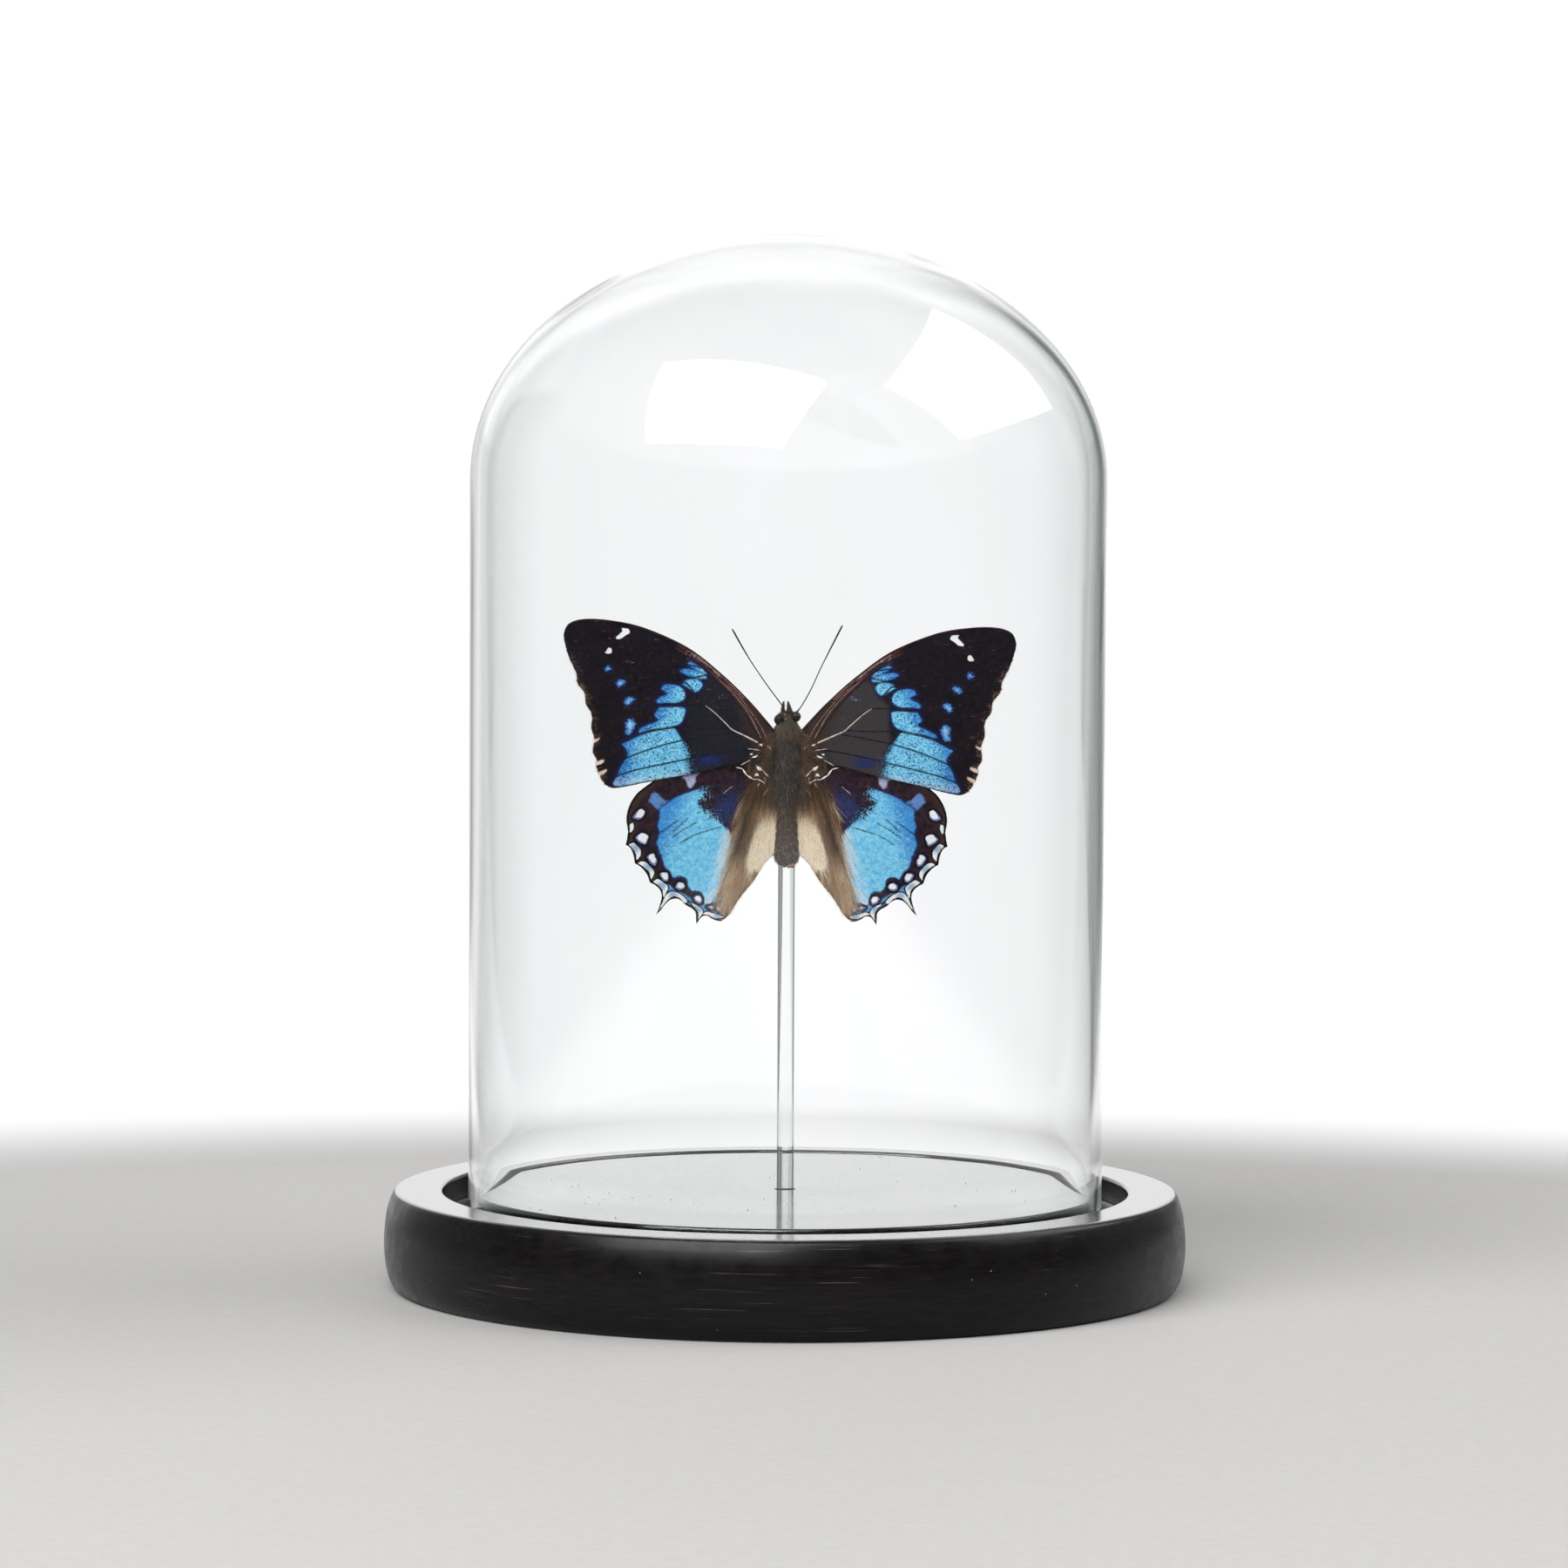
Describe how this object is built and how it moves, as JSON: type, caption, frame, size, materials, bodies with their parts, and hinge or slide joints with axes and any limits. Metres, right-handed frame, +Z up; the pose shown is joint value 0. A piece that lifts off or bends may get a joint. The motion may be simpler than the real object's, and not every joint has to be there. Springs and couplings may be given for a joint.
{
  "type": "insect in glass dome",
  "caption": "Mounted blue butterfly with spread wings on a clear rod, under a glass bell dome that rests in the groove of a round black wooden base.",
  "frame": {"origin": "centre of the base's underside, on the surface that the object stands on", "axes": "+Z up along the dome's axis; the butterfly's upper side faces -Y; +X towards its right-hand wings in that view"},
  "size_m": [0.151, 0.151, 0.1976],
  "materials": {
    "base_paint": "satin black paint on turned wood, faint scratches and dust",
    "dome_glass": "clear blown glass, polished",
    "rod_glass": "clear drawn glass, polished",
    "clear_glue": "clear cured glue",
    "body_fur": "grey-brown hair over dry skin",
    "antenna_skin": "dark dry skin",
    "forewing_scales": "velvety purple-black scales with blue patches",
    "hindwing_scales": "velvety blue scales in a purple-black border",
    "leg_skin": "dry skin with short hair"
  },
  "bodies": {
    "root": {"base": "base_paint", "glass_dome": "dome_glass", "support_rod": "rod_glass", "glue_dab": "clear_glue", "thorax": "body_fur", "abdomen": "body_fur", "head": "body_fur", "antenna_left": "antenna_skin", "antenna_right": "antenna_skin", "forewing_left": "forewing_scales", "forewing_right": "forewing_scales", "hindwing_left": "hindwing_scales", "hindwing_right": "hindwing_scales", "middle_leg_left": "leg_skin", "middle_leg_right": "leg_skin", "hind_leg_left": "leg_skin", "hind_leg_right": "leg_skin"}
  },
  "joints": []
}
